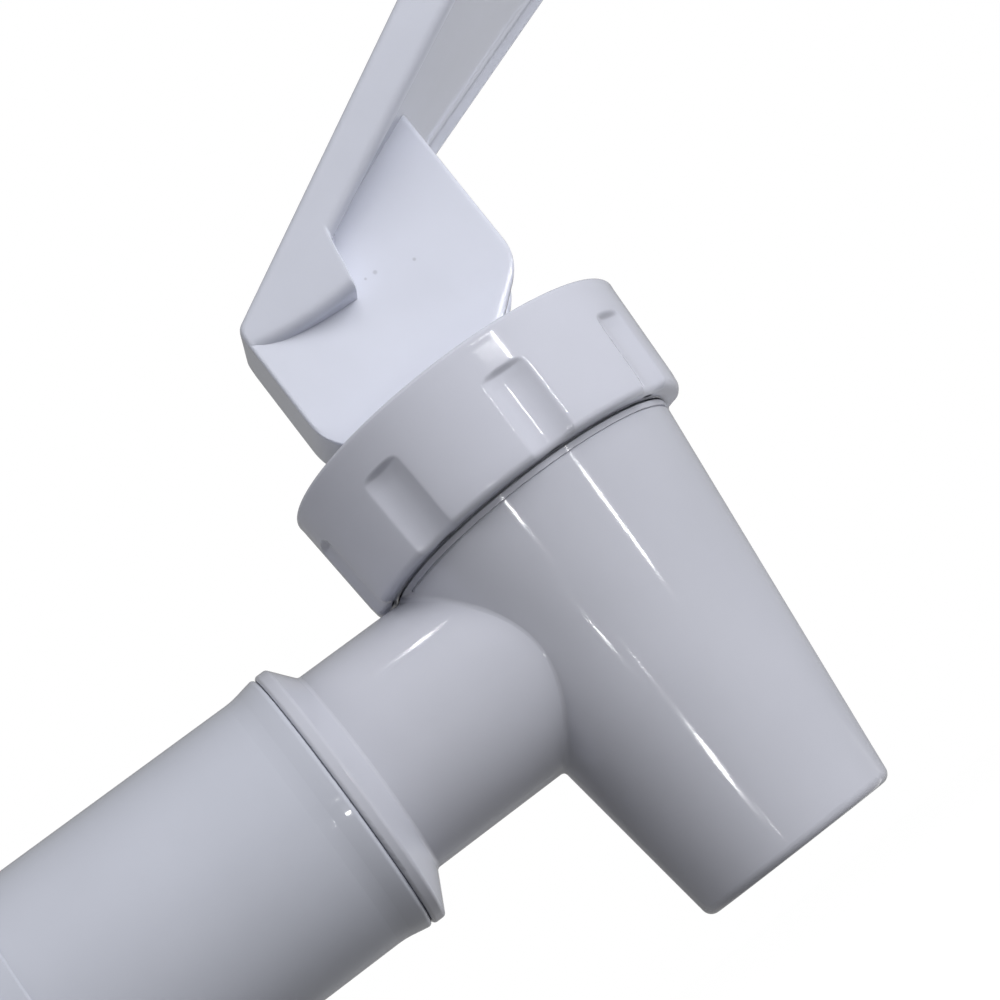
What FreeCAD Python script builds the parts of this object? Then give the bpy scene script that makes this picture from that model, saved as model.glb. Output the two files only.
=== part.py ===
import FreeCAD, Part

import math
import os
import re

import Sketcher

# Lever tap for a water dispenser. The inlet sleeve lies along +X with the centre of its mouth at the
# origin, the spout hangs down from the tap axis, and the thumb lever rises forward over the cap.
# Sub-parts on the tap axis are drawn about that axis, with height zero at the underside of the cap.

# Millimetres and degrees.
SIZES = {
    # Where the tap axis stands, and how far the neck runs above the sleeve's axis.
    "tap_axis_x": 60.0,
    "cap_base_z": 10.0,
    "neck_raise": 0.6,
    # Inlet sleeve: a socket with a mouth band and a flared inner end.
    "sleeve_length": 33.7,
    "sleeve_radius": 11.4,
    "sleeve_bore": 9.0,
    "joint_bore": 9.3,
    "mouth_band_length": 7.1,
    "mouth_band_rise": 0.2,
    "mouth_bevel": 0.3,
    "flare_length": 2.4,
    "flare_rise": 0.45,
    "flare_knee_length": 0.9,
    "flare_knee_rise": 0.3,
    "flare_round": 6.0,
    "end_gap": 0.03,
    # Valve body: spout, collar, neck, shoulder cone, lip and spigot.
    "spout_drop": 34.4,
    "spout_top_radius": 13.48,
    "spout_tip_radius": 8.93,
    "spout_tip_round": 0.9,
    "collar_height": 6.0,
    "ledge_gap": 0.15,
    "ledge_thickness": 0.45,
    "seam_height": 0.2,
    "seam_depth": 0.25,
    "seam_sweep": 320.0,
    "neck_radius": 9.2,
    "neck_bore": 6.2,
    "saddle_round": 0.4,
    "lip_radius": 11.85,
    "lip_width": 1.1,
    "lip_round": 0.35,
    "shoulder_width": 1.7,
    "spigot_length": 7.0,
    "glue_gap": 0.05,
    # Shares of the space between the chamber's top and the outside of the cap.
    "cup_rim_share": 0.372,
    "collar_share": 0.465,
    "cap_bore_share": 0.5465,
    # Valve chamber, seat and outlet.
    "chamber_top_radius": 11.0,
    "chamber_floor_radius": 9.2,
    "chamber_depth": 17.0,
    "seat_hole": 4.8,
    "seat_land": 0.9,
    "seat_flank": 0.18,
    "seat_rise": 1.4,
    "seat_web": 2.2,
    "outlet_bore": 7.0,
    "bore_overlap": 1.0,
    # Bonnet cap, where the edges' rounds and the groove's depth are shares of its wall.
    "cap_height": 10.4,
    "cap_base_radius": 15.3,
    "cap_flare": 0.7,
    "cap_roof": 2.6,
    "cap_top_share": 0.18,
    "cap_low_share": 0.36,
    "rim_thickness": 1.2,
    "rim_clearance": 0.05,
    "roof_recess_radius": 8.0,
    "groove_count": 8,
    "groove_turn": 6.0,
    "groove_width": 4.1,
    "groove_height": 7.3,
    "groove_share": 0.36,
    "groove_corner": 1.1,
    # Stem, with the eye that carries the lever.
    "stem_radius": 3.0,
    "stem_clearance": 0.08,
    "pivot_height": 3.0,
    "eye_thickness": 5.2,
    "eye_bore": 1.55,
    "shaft_rise": 0.3,
    "flat_depth": 1.8,
    "shoulder_level": 6.0,
    "shoulder_thickness": 1.4,
    "spring_seat_radius": 5.6,
    "waist_radius": 2.6,
    "waist_length": 2.0,
    "button_radius": 3.9,
    "button_thickness": 1.6,
    "button_tip": 1.2,
    # Silicone seat cup.
    "cup_fit": 0.1,
    "cup_wall": 1.0,
    "cup_throat_radius": 8.5,
    "cup_waist_radius": 7.3,
    "cup_plug_radius": 6.6,
    # Return spring and the washer above it.
    "wire_radius": 0.4,
    "coil_radius": 4.6,
    "coil_pitch": 2.1,
    "washer_radius": 6.4,
    "washer_hole": 3.4,
    "washer_thickness": 0.8,
    "washer_gap": 0.05,
    # Inlet gasket.
    "gasket_thickness": 2.0,
    "gasket_hole": 7.1,
    "gasket_fit": 0.1,
    # Lever: cheeks with a cam foot, and a wing-shaped paddle.
    "cheek_reach": 10.95,
    "cheek_half_width": 4.45,
    "cheek_thickness": 1.6,
    "cam_gap": 0.12,
    "cam_flat": 3.9,
    "cam_angle": 40.0,
    "cam_round": 3.0,
    "front_round": 4.4,
    "heel_round": 4.6,
    "lever_height": 14.5,
    "lever_slope": 26.0,
    "lever_tip": 40.0,
    "wing_angle": 18.0,
    "wing_corner": 5.0,
    "paddle_root": 2.8,
    "paddle_taper": 0.04,
    "heel_depth": 2.4,
    "heel_end": 0.76,
    "heel_fall": 1.25,
    "heel_lean": 0.8,
    "bead_drop": 0.85,
    "bead_width": 1.6,
    "bead_tip_width": 4.5,
    "stub_radius": 1.5,
    "stub_spacing": 1.4,
    "stub_relief": 0.3,
    "paddle_top_round": 0.8,
    "paddle_low_round": 0.8,
    # How far a cut runs past the solid, and past a face that it only meets.
    "cut_over": 6.0,
    "cut_skim": 0.01,
}

doc = FreeCAD.newDocument("dispenser_tap")
sheet = doc.addObject("Spreadsheet::Sheet", "sizes")
for row, (alias, size) in enumerate(SIZES.items(), start=1):
    sheet.set(f"A{row}", alias)
    sheet.set(f"B{row}", str(size))
    sheet.setAlias(f"B{row}", alias)
doc.recompute()

# Every alias holds an underscore, so that a formula can name sizes and functions side by side.
ALIAS = re.compile(r"\b[a-z]+(?:_[a-z]+)+\b")

PADDLE_LOW = "(tan(lever_slope * 1 deg) - paddle_taper)"
PIVOT_LEVEL = "(cap_height + pivot_height)"
TOP_LEVEL = "(cap_height + lever_height)"
CAP_TOP_RADIUS = "(cap_base_radius + cap_flare)"
CAP_ROOM = "(cap_base_radius - chamber_top_radius)"
CAP_BORE = f"(chamber_top_radius + cap_bore_share * {CAP_ROOM})"
CAP_WALL = f"(cap_base_radius - {CAP_BORE})"
GROOVE_DEPTH = f"(groove_share * {CAP_WALL})"
COLLAR_RADIUS = f"(chamber_top_radius + collar_share * {CAP_ROOM})"
CUP_RIM_RADIUS = f"(chamber_top_radius + cup_rim_share * {CAP_ROOM})"

# The spring's wire is drawn with this many flat sides.
WIRE_SIDES = 6
# An edge is on a level when this many points of it are within the slack, in millimetres.
LEVEL_POINTS = 5
LEVEL_SLACK = 0.01
# The least cosine between two directions that count as parallel.
PARALLEL = 0.999
FULL_TURN = 360


def bind(target, path, text):
    """Ties a property to a formula of the named sizes."""
    target.setExpression(path, ALIAS.sub(r"sizes.\g<0>", text))


def new_body(name, on_tap_axis=True):
    """Starts a sub-part, about the tap axis or in the frame of the sleeve."""
    body = doc.addObject("PartDesign::Body", name)
    body.Label = name
    if on_tap_axis:
        bind(body, "Placement.Base.x", "tap_axis_x")
        bind(body, "Placement.Base.z", "cap_base_z")
    return body


def new_sketch(body, name, role, offset=None):
    """Lays a sketch on one of the body's own planes, or parallel to it at an offset."""
    sketch = body.newObject("Sketcher::SketchObject", f"{body.Name}_{name}")
    plane = next(item for item in body.Origin.OriginFeatures if item.Role == role)
    sketch.AttachmentSupport = [(plane, "")]
    sketch.MapMode = "FlatFace"
    if offset:
        bind(sketch, "AttachmentOffset.Base.z", offset)
    return sketch


def place(sketch, curve, end, across, up):
    """Holds a point of the sketch at two formulas, where "0" is the axis itself."""
    for kind, axis, text in (("DistanceX", -2, across), ("DistanceY", -1, up)):
        if text == "0":
            sketch.addConstraint(Sketcher.Constraint("PointOnObject", curve, end, axis))
            continue
        index = sketch.addConstraint(Sketcher.Constraint(kind, -1, 1, curve, end, 1.0))
        bind(sketch, f"Constraints[{index}]", text)


def outline(sketch, corners):
    """Draws a closed outline of straight sides through the corners."""
    count = len(corners)
    turn = 2 * math.pi / count
    start = [FreeCAD.Vector(math.cos(turn * n), math.sin(turn * n), 0) for n in range(count)]
    sides = [
        sketch.addGeometry(Part.LineSegment(start[n], start[(n + 1) % count])) for n in range(count)
    ]
    for n, side in enumerate(sides):
        sketch.addConstraint(Sketcher.Constraint("Coincident", side, 2, sides[(n + 1) % count], 1))
    for side, (across, up) in zip(sides, corners):
        place(sketch, side, 1, across, up)


def circle(sketch, across, up, radius):
    """Draws a circle about a point of the sketch."""
    ring = Part.Circle(FreeCAD.Vector(0, 0, 0), FreeCAD.Vector(0, 0, 1), 1.0)
    curve = sketch.addGeometry(ring)
    place(sketch, curve, 3, across, up)
    index = sketch.addConstraint(Sketcher.Constraint("Radius", curve, 1.0))
    bind(sketch, f"Constraints[{index}]", radius)


def turned(body, name, corners, kind="PartDesign::Revolution", about="V_Axis"):
    """Turns an outline about the tap axis, or about the sleeve's with H_Axis."""
    sketch = new_sketch(body, f"{name}_profile", "XZ_Plane")
    outline(sketch, corners)
    feature = body.newObject(kind, f"{body.Name}_{name}")
    feature.Profile = sketch
    feature.ReferenceAxis = (sketch, [about])
    feature.Angle = FULL_TURN
    doc.recompute()
    return feature


def pushed(body, name, sketch, length, kind="PartDesign::Pad", both_ways=False, backwards=False):
    """Pushes a sketch out as a pad, or into the solid as a pocket."""
    feature = body.newObject(kind, f"{body.Name}_{name}")
    feature.Profile = sketch
    feature.Midplane = both_ways
    feature.Reversed = backwards
    bind(feature, "Length", length)
    doc.recompute()
    return feature


def rounded(body, name, radius, chosen):
    """Rounds the edges of the body's last feature for which the test holds."""
    base = body.Tip
    picked = [f"Edge{n}" for n, edge in enumerate(base.Shape.Edges, start=1) if chosen(edge)]
    feature = body.newObject("PartDesign::Fillet", f"{body.Name}_{name}")
    feature.Base = (base, picked)
    bind(feature, "Radius", radius)
    doc.recompute()
    return feature


def along(edge, axis):
    """Whether an edge is straight and parallel to an axis."""
    if edge.Curve.TypeId != "Part::GeomLine":
        return False
    return abs(edge.Curve.Direction.dot(axis)) > PARALLEL


def at_level(edge, height, slope=0.0):
    """Whether an edge lies in the plane of this height on the tap axis, rising forward by slope."""
    points = edge.discretize(LEVEL_POINTS)
    return all(abs(point.z - height - slope * point.x) < LEVEL_SLACK for point in points)


def is_ring(edge, radius, height):
    """Whether an edge is a circle of this radius about the tap axis at this height."""
    if edge.Curve.TypeId != "Part::GeomCircle":
        return False
    return abs(edge.Curve.Radius - radius) < LEVEL_SLACK and at_level(edge, height)


FORWARD = FreeCAD.Vector(1, 0, 0)
SIDEWAYS = FreeCAD.Vector(0, 1, 0)
UPWARD = FreeCAD.Vector(0, 0, 1)


def is_hoop(edge, radius, height):
    """Whether an edge is a circle of this radius about a level line at this height."""
    if edge.Curve.TypeId != "Part::GeomCircle" or abs(edge.Curve.Axis.x) < PARALLEL:
        return False
    return abs(edge.Curve.Radius - radius) < LEVEL_SLACK and abs(edge.Curve.Center.z - height) < LEVEL_SLACK


def make_valve_body():
    """One moulding: spout, collar and neck outside, valve chamber, seat and outlet inside."""
    body = new_body("valve_body")
    turned(body, "spout", [
        ("0", "collar_height"),
        ("spout_top_radius", "collar_height"),
        ("spout_top_radius", "0"),
        ("spout_tip_radius", "-spout_drop"),
        ("0", "-spout_drop"),
    ])
    neck_axis = "neck_raise - cap_base_z"
    lip_start = "sleeve_length - tap_axis_x"
    neck_start = f"{lip_start} + lip_width + shoulder_width"
    neck = new_sketch(body, "neck_circle", "YZ_Plane", neck_start)
    circle(neck, "0", neck_axis, "neck_radius")
    pushed(body, "neck", neck, f"-({neck_start})")
    rounded(body, "saddle", "saddle_round", lambda edge: (
        edge.Curve.TypeId not in ("Part::GeomCircle", "Part::GeomLine")
        and edge.CenterOfMass.x < 0
    ))

    wide_end = new_sketch(body, "shoulder_wide", "YZ_Plane", f"{lip_start} + lip_width")
    circle(wide_end, "0", "-cap_base_z", "lip_radius")
    narrow_end = new_sketch(body, "shoulder_narrow", "YZ_Plane", neck_start)
    circle(narrow_end, "0", neck_axis, "neck_radius")
    shoulder = body.newObject("PartDesign::AdditiveLoft", "valve_body_shoulder")
    shoulder.Profile = wide_end
    shoulder.Sections = [narrow_end]
    shoulder.Ruled = True
    doc.recompute()
    rounded(body, "shoulder_round", "saddle_round", lambda edge: (
        edge.Curve.TypeId == "Part::GeomCircle"
        and abs(edge.Curve.Radius - SIZES["neck_radius"]) < LEVEL_SLACK
        and edge.CenterOfMass.x < -SIZES["cap_base_radius"]
    ))

    lip = new_sketch(body, "lip_circle", "YZ_Plane", lip_start)
    circle(lip, "0", "-cap_base_z", "lip_radius")
    pushed(body, "lip", lip, "lip_width")
    rounded(body, "lip_edges", "lip_round", lambda edge: is_hoop(
        edge, SIZES["lip_radius"], -SIZES["cap_base_z"]
    ))
    spigot = new_sketch(body, "spigot_circle", "YZ_Plane", lip_start)
    circle(spigot, "0", "-cap_base_z", "joint_bore - glue_gap")
    pushed(body, "spigot", spigot, "spigot_length", backwards=True)

    turned(body, "collar_relief", [
        (COLLAR_RADIUS, "-ledge_gap"),
        (f"{COLLAR_RADIUS} + cut_over", "-ledge_gap"),
        (f"{COLLAR_RADIUS} + cut_over", "collar_height + cut_over"),
        (COLLAR_RADIUS, "collar_height + cut_over"),
    ], "PartDesign::Groove")
    seam_top = "-ledge_gap - ledge_thickness"
    seam = turned(body, "seam", [
        ("spout_top_radius - seam_depth", seam_top),
        ("spout_top_radius + seam_depth", seam_top),
        ("spout_top_radius + seam_depth", f"{seam_top} - seam_height"),
        ("spout_top_radius - seam_depth", f"{seam_top} - seam_height"),
    ], "PartDesign::Groove")
    seam.Midplane = True
    bind(seam, "Angle", "seam_sweep")
    rounded(body, "tip_round", "spout_tip_round", lambda edge: is_ring(
        edge, SIZES["spout_tip_radius"], -SIZES["spout_drop"]
    ))

    turned(body, "waterway", [
        ("0", "collar_height + cut_over"),
        ("chamber_top_radius", "collar_height + cut_over"),
        ("chamber_top_radius", "-ledge_gap"),
        ("chamber_floor_radius", "-chamber_depth"),
        ("seat_hole + seat_land + seat_flank", "-chamber_depth"),
        ("seat_hole + seat_land", "seat_rise - chamber_depth"),
        ("seat_hole", "seat_rise - chamber_depth"),
        ("seat_hole", "-chamber_depth - seat_web"),
        ("outlet_bore", "-chamber_depth - seat_web"),
        ("outlet_bore", "-spout_drop - cut_over"),
        ("0", "-spout_drop - cut_over"),
    ], "PartDesign::Groove")
    neck_bore = new_sketch(body, "neck_bore_circle", "YZ_Plane", "bore_overlap - chamber_floor_radius")
    circle(neck_bore, "0", neck_axis, "neck_bore")
    pushed(body, "neck_bore", neck_bore, "tap_axis_x", "PartDesign::Pocket")
    return body


def make_inlet_sleeve():
    """The long socket: a band round its mouth, a plain bore and a flared end at the lip."""
    body = new_body("inlet_sleeve", on_tap_axis=False)
    joint_start = "sleeve_length - spigot_length - gasket_thickness - gasket_fit"
    turned(body, "tube", [
        ("0", "sleeve_bore"),
        ("0", "sleeve_radius + mouth_band_rise - mouth_bevel"),
        ("mouth_bevel", "sleeve_radius + mouth_band_rise"),
        ("mouth_band_length - mouth_band_rise", "sleeve_radius + mouth_band_rise"),
        ("mouth_band_length", "sleeve_radius"),
        ("sleeve_length - flare_length", "sleeve_radius"),
        ("sleeve_length - flare_knee_length", "sleeve_radius + flare_knee_rise"),
        ("sleeve_length - end_gap", "sleeve_radius + flare_rise"),
        ("sleeve_length - end_gap", "joint_bore"),
        (joint_start, "joint_bore"),
        (joint_start, "sleeve_bore"),
    ], about="H_Axis")
    rounded(body, "flare_bends", "flare_round", lambda edge: (
        is_hoop(edge, SIZES["sleeve_radius"] + SIZES["flare_knee_rise"], 0)
        or is_hoop(edge, SIZES["sleeve_radius"], 0) and edge.Curve.Center.x > SIZES["sleeve_length"] / 2
    ))
    rounded(body, "flare_end", "lip_round", lambda edge: is_hoop(
        edge, SIZES["sleeve_radius"] + SIZES["flare_rise"], 0
    ))
    return body


def make_inlet_gasket():
    """A flat ring at the bottom of the socket, against the spigot's end."""
    body = new_body("inlet_gasket", on_tap_axis=False)
    face = "sleeve_length - spigot_length"
    turned(body, "ring", [
        (face, "gasket_hole"),
        (face, "joint_bore - gasket_fit"),
        (f"{face} - gasket_thickness", "joint_bore - gasket_fit"),
        (f"{face} - gasket_thickness", "gasket_hole"),
    ], about="H_Axis")
    return body


def make_bonnet_cap():
    """The screwed cap: a slightly tapered drum with grip grooves that run out at its lower edge."""
    body = new_body("bonnet_cap")
    ledge = "collar_height + rim_thickness"
    turned(body, "drum", [
        ("stem_radius + stem_clearance", "cap_height"),
        (CAP_TOP_RADIUS, "cap_height"),
        ("cap_base_radius", "0"),
        (CAP_BORE, "0"),
        (CAP_BORE, ledge),
        ("roof_recess_radius", ledge),
        ("roof_recess_radius", "cap_height - cap_roof"),
        ("stem_radius + stem_clearance", "cap_height - cap_roof"),
    ])
    rounded(body, "top_edge", f"cap_top_share * {CAP_WALL}", lambda edge: is_ring(
        edge, SIZES["cap_base_radius"] + SIZES["cap_flare"], SIZES["cap_height"]
    ))
    rounded(body, "low_edge", f"cap_low_share * {CAP_WALL}", lambda edge: is_ring(
        edge, SIZES["cap_base_radius"], 0
    ))
    groove = new_sketch(body, "groove_outline", "YZ_Plane")
    lean = FreeCAD.Rotation(FORWARD, 1.0)
    groove.AttachmentOffset = FreeCAD.Placement(FreeCAD.Vector(0, 0, 0), lean)
    bind(groove, "AttachmentOffset.Base.z", f"cap_base_radius - {GROOVE_DEPTH}")
    bind(groove, "AttachmentOffset.Rotation.Angle", "atan(cap_flare / cap_height)")
    outline(groove, [
        ("-groove_width / 2", f"-{GROOVE_DEPTH}"),
        ("groove_width / 2", f"-{GROOVE_DEPTH}"),
        ("groove_width / 2", "groove_height"),
        ("-groove_width / 2", "groove_height"),
    ])
    cut = pushed(body, "groove", groove, "groove_width", "PartDesign::Pocket", backwards=True)
    around = body.newObject("PartDesign::PolarPattern", "bonnet_cap_grooves")
    around.Originals = [cut]
    around.Axis = (next(item for item in body.Origin.OriginFeatures if item.Role == "Z_Axis"), [""])
    around.Angle = FULL_TURN
    bind(around, "Occurrences", "groove_count")
    body.Tip = around
    doc.recompute()
    rounded(body, "groove_corners", "groove_corner", lambda edge: (
        edge.Curve.TypeId == "Part::GeomLine"
        and abs(edge.CenterOfMass.z - SIZES["groove_height"]) < SIZES["groove_corner"]
        and edge.Length < SIZES["groove_width"] / 2
    ))
    bind(body, "Placement.Rotation.Angle", "groove_turn")
    return body


def make_valve_stem():
    """A plunger: button, spring seat and shaft, with flats that lead up to the lever's eye."""
    body = new_body("valve_stem")
    seat_low = "-shoulder_level - shoulder_thickness"
    waist_low = f"{seat_low} - waist_length"
    button_low = f"{waist_low} - button_thickness"
    turned(body, "plunger", [
        ("0", "cap_height + shaft_rise"),
        ("stem_radius", "cap_height + shaft_rise"),
        ("stem_radius", "-shoulder_level"),
        ("spring_seat_radius", "-shoulder_level"),
        ("spring_seat_radius", seat_low),
        ("waist_radius", seat_low),
        ("waist_radius", waist_low),
        ("button_radius", waist_low),
        ("button_radius", button_low),
        ("waist_radius", f"{button_low} - button_tip"),
        ("0", f"{button_low} - button_tip"),
    ])
    shank = new_sketch(body, "shank_outline", "XZ_Plane")
    outline(shank, [
        ("-stem_radius", "cap_height + shaft_rise"),
        ("stem_radius", "cap_height + shaft_rise"),
        ("stem_radius", PIVOT_LEVEL),
        ("-stem_radius", PIVOT_LEVEL),
    ])
    pushed(body, "shank", shank, "eye_thickness", both_ways=True)
    eye = new_sketch(body, "eye_circle", "XZ_Plane")
    circle(eye, "0", PIVOT_LEVEL, "stem_radius")
    pushed(body, "eye", eye, "eye_thickness", both_ways=True)
    hole = new_sketch(body, "eye_hole", "XZ_Plane")
    circle(hole, "0", PIVOT_LEVEL, "eye_bore")
    pushed(body, "bore", hole, "eye_thickness + cut_over", "PartDesign::Pocket", both_ways=True)
    flats = new_sketch(body, "flats_outline", "YZ_Plane")
    for side in ("", "-"):
        outline(flats, [
            (f"{side}eye_thickness / 2", "cap_height - flat_depth"),
            (f"{side}(stem_radius + cut_over)", "cap_height - flat_depth"),
            (f"{side}(stem_radius + cut_over)", f"{PIVOT_LEVEL} + cut_over"),
            (f"{side}eye_thickness / 2", f"{PIVOT_LEVEL} + cut_over"),
        ])
    pushed(body, "flats", flats, "2 * (stem_radius + cut_over)", "PartDesign::Pocket", both_ways=True)
    return body


def make_seat_cup():
    """The silicone cup: a clamped rim, a thin skirt and a plug that closes on the seat."""
    body = new_body("seat_cup")
    floor = "-shoulder_level - shoulder_thickness - cup_fit"
    pocket_top = f"{floor} - waist_length + 2 * cup_fit"
    pocket_low = f"{pocket_top} - button_thickness - button_tip - 2 * cup_fit"
    face = "seat_rise - chamber_depth + rim_clearance"
    turned(body, "wall", [
        ("cup_throat_radius - cup_wall", "collar_height + rim_thickness - rim_clearance"),
        (CUP_RIM_RADIUS, "collar_height + rim_thickness - rim_clearance"),
        (CUP_RIM_RADIUS, "collar_height + rim_clearance"),
        ("cup_throat_radius", "collar_height + rim_clearance"),
        ("cup_waist_radius", floor),
        ("cup_plug_radius", f"{floor} - cup_wall"),
        ("cup_plug_radius", face),
        ("0", face),
        ("0", pocket_low),
        ("button_radius + cup_fit", pocket_low),
        ("button_radius + cup_fit", pocket_top),
        ("waist_radius + cup_fit", pocket_top),
        ("waist_radius + cup_fit", floor),
        ("cup_waist_radius - cup_wall", floor),
    ])
    return body


def make_spring_washer():
    """The plain ring between the spring and the roof of the cap."""
    body = new_body("spring_washer")
    top = "cap_height - cap_roof - washer_gap"
    turned(body, "ring", [
        ("washer_hole", top),
        ("washer_radius", top),
        ("washer_radius", f"{top} - washer_thickness"),
        ("washer_hole", f"{top} - washer_thickness"),
    ])
    return body


def make_return_spring():
    """A steel coil between the stem's spring seat and the washer."""
    body = new_body("return_spring")
    level = "wire_radius + washer_gap - shoulder_level"
    wire = new_sketch(body, "wire_section", "XZ_Plane")
    outline(wire, [
        (f"coil_radius + wire_radius * cos({turn} * 1 deg)",
         f"{level} + wire_radius * sin({turn} * 1 deg)")
        for turn in range(0, FULL_TURN, FULL_TURN // WIRE_SIDES)
    ])
    coil = body.newObject("PartDesign::AdditiveHelix", "return_spring_coil")
    coil.Profile = wire
    coil.ReferenceAxis = (wire, ["V_Axis"])
    coil.Mode = 0
    bind(coil, "Pitch", "coil_pitch")
    bind(coil, "Height", "cap_height - cap_roof - washer_thickness + shoulder_level"
         " - 2 * wire_radius - 3 * washer_gap")
    doc.recompute()
    return body


def make_lever():
    """One moulding: two cheeks with cam feet and inner stubs, a rear web and a wing-shaped paddle."""
    body = new_body("lever")
    half = "cheek_half_width"
    tip_half = f"({half} + (cheek_reach + lever_tip) * tan(wing_angle * 1 deg))"
    plan = new_sketch(body, "plan", "XY_Plane")
    outline(plan, [
        ("-cheek_reach", f"-{half}"),
        ("lever_tip", f"-{tip_half}"),
        ("lever_tip", tip_half),
        ("-cheek_reach", half),
    ])
    pushed(body, "blank", plan, f"{TOP_LEVEL} + lever_tip + cheek_reach")
    rounded(body, "tip_corners", "wing_corner", lambda edge: (
        along(edge, UPWARD) and edge.CenterOfMass.x > SIZES["cheek_reach"]
    ))

    rise = "tan(lever_slope * 1 deg)"
    heel_level = f"{TOP_LEVEL} - heel_depth"
    under = f"{TOP_LEVEL} - paddle_root + cheek_reach * {PADDLE_LOW}"
    over = "2 * wing_corner"
    side = new_sketch(body, "side_trim", "XZ_Plane")
    outline(side, [
        (f"-cheek_reach - {over}", f"{TOP_LEVEL} - {over} * {rise}"),
        (f"lever_tip + {over}", f"{TOP_LEVEL} + (cheek_reach + lever_tip + {over}) * {rise}"),
        (f"lever_tip + {over}", f"3 * {TOP_LEVEL} + lever_tip + cheek_reach"),
        (f"-cheek_reach - {over}", f"3 * {TOP_LEVEL} + lever_tip + cheek_reach"),
    ])
    outline(side, [
        (f"-cheek_reach - {over}", heel_level),
        ("-cheek_reach", heel_level),
        ("-heel_end - heel_lean", f"{heel_level} - heel_fall"),
        ("-heel_end", f"{under} - bead_drop - heel_end * {PADDLE_LOW}"),
        (f"lever_tip + {over}", f"{under} - bead_drop + (lever_tip + {over}) * {PADDLE_LOW}"),
        (f"lever_tip + {over}", "-cap_height"),
        (f"-cheek_reach - {over}", "-cap_height"),
    ])
    pushed(body, "paddle", side, f"2 * ({tip_half} + cut_over)", "PartDesign::Pocket", both_ways=True)

    slope = math.tan(math.radians(SIZES["lever_slope"]))
    top_at_axis = SIZES["cap_height"] + SIZES["lever_height"] + SIZES["cheek_reach"] * slope
    rounded(body, "top_round", "paddle_top_round", lambda edge: at_level(edge, top_at_axis, slope))
    rounded(body, "low_round", "paddle_low_round", lambda edge: (
        edge.CenterOfMass.z < top_at_axis + slope * edge.CenterOfMass.x - SIZES["paddle_top_round"]
        and abs(edge.CenterOfMass.y) > SIZES["cheek_half_width"] + SIZES["paddle_low_round"] / 2
        and not along(edge, UPWARD)
        and edge.CenterOfMass.x > 0
    ))

    hollow = []
    for end, across in (("root", "bead_width"), ("tip", "(lever_tip - bead_tip_width)")):
        section = new_sketch(body, f"hollow_{end}", "YZ_Plane", across)
        reach = f"({half} + (cheek_reach + {across}) * tan(wing_angle * 1 deg) - bead_width)"
        roof = f"{under} + {across} * {PADDLE_LOW}"
        outline(section, [
            (f"-{reach}", f"{roof} - 2 * bead_drop"),
            (reach, f"{roof} - 2 * bead_drop"),
            (reach, roof),
            (f"-{reach}", roof),
        ])
        hollow.append(section)
    recess = body.newObject("PartDesign::SubtractiveLoft", "lever_hollow")
    recess.Profile = hollow[0]
    recess.Sections = hollow[1:]
    recess.Ruled = True
    doc.recompute()

    foot = "cap_height + cam_gap"
    mid = "(paddle_root / 2)"
    cam_rise = "(cheek_reach - cam_flat) * tan(cam_angle * 1 deg)"
    cheek = new_sketch(body, "cheek_outline", "XZ_Plane")
    outline(cheek, [
        ("-cheek_reach", foot),
        ("cam_flat", foot),
        ("cheek_reach", f"{foot} + {cam_rise}"),
        ("cheek_reach", f"{TOP_LEVEL} - {mid} + 2 * cheek_reach * {rise}"),
        ("-cheek_reach", f"{TOP_LEVEL} - {mid}"),
    ])
    pushed(body, "cheeks", cheek, f"2 * {half}", both_ways=True)
    base_level = SIZES["cap_height"] + SIZES["cam_gap"]
    corner_level = base_level + (SIZES["cheek_reach"] - SIZES["cam_flat"]) * math.tan(
        math.radians(SIZES["cam_angle"])
    )

    def corner(x, z):
        return lambda edge: (
            along(edge, SIDEWAYS)
            and abs(edge.CenterOfMass.x - x) < LEVEL_SLACK
            and abs(edge.CenterOfMass.z - z) < LEVEL_SLACK
        )

    rounded(body, "cam_round", "cam_round", corner(SIZES["cam_flat"], base_level))
    rounded(body, "front_round", "front_round", corner(SIZES["cheek_reach"], corner_level))
    rounded(body, "heel_round", "heel_round", corner(-SIZES["cheek_reach"], base_level))

    slot = new_sketch(body, "slot_outline", "XZ_Plane")
    outline(slot, [
        ("cheek_thickness - cheek_reach", "0"),
        ("2 * cheek_reach", "0"),
        ("2 * cheek_reach",
         f"{TOP_LEVEL} - paddle_root - cut_skim + 3 * cheek_reach * {PADDLE_LOW}"),
        ("cheek_thickness - cheek_reach",
         f"{TOP_LEVEL} - paddle_root - cut_skim + cheek_thickness * {PADDLE_LOW}"),
    ])
    gap = f"2 * ({half} - cheek_thickness)"
    pushed(body, "slot", slot, gap, "PartDesign::Pocket", both_ways=True)

    stubs = new_sketch(body, "stub_circle", "XZ_Plane")
    circle(stubs, "0", PIVOT_LEVEL, "stub_radius")
    pushed(body, "stubs", stubs, f"{gap} + cheek_thickness / 2", both_ways=True)
    parting = new_sketch(body, "stub_gap", "XZ_Plane")
    circle(parting, "0", PIVOT_LEVEL, "stub_radius + stub_relief")
    pushed(body, "stub_parting", parting, "stub_spacing", "PartDesign::Pocket", both_ways=True)
    return body


bodies = [
    make_valve_body(),
    make_inlet_sleeve(),
    make_inlet_gasket(),
    make_bonnet_cap(),
    make_valve_stem(),
    make_seat_cup(),
    make_spring_washer(),
    make_return_spring(),
    make_lever(),
]
doc.recompute()

faults = [item.Name for item in doc.Objects if {"Invalid", "Error"} & set(item.State)]
faults += [body.Label for body in bodies if body.Shape.isNull() or not body.Shape.isValid()]
if faults:
    raise RuntimeError("not built: " + ", ".join(faults))

os.makedirs("parts", exist_ok=True)
for body in bodies:
    body.Shape.exportStep(f"parts/{body.Label}.step")
    print(body.Label, round(body.Shape.Volume, 1), len(body.Shape.Solids))
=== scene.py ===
import math

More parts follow.
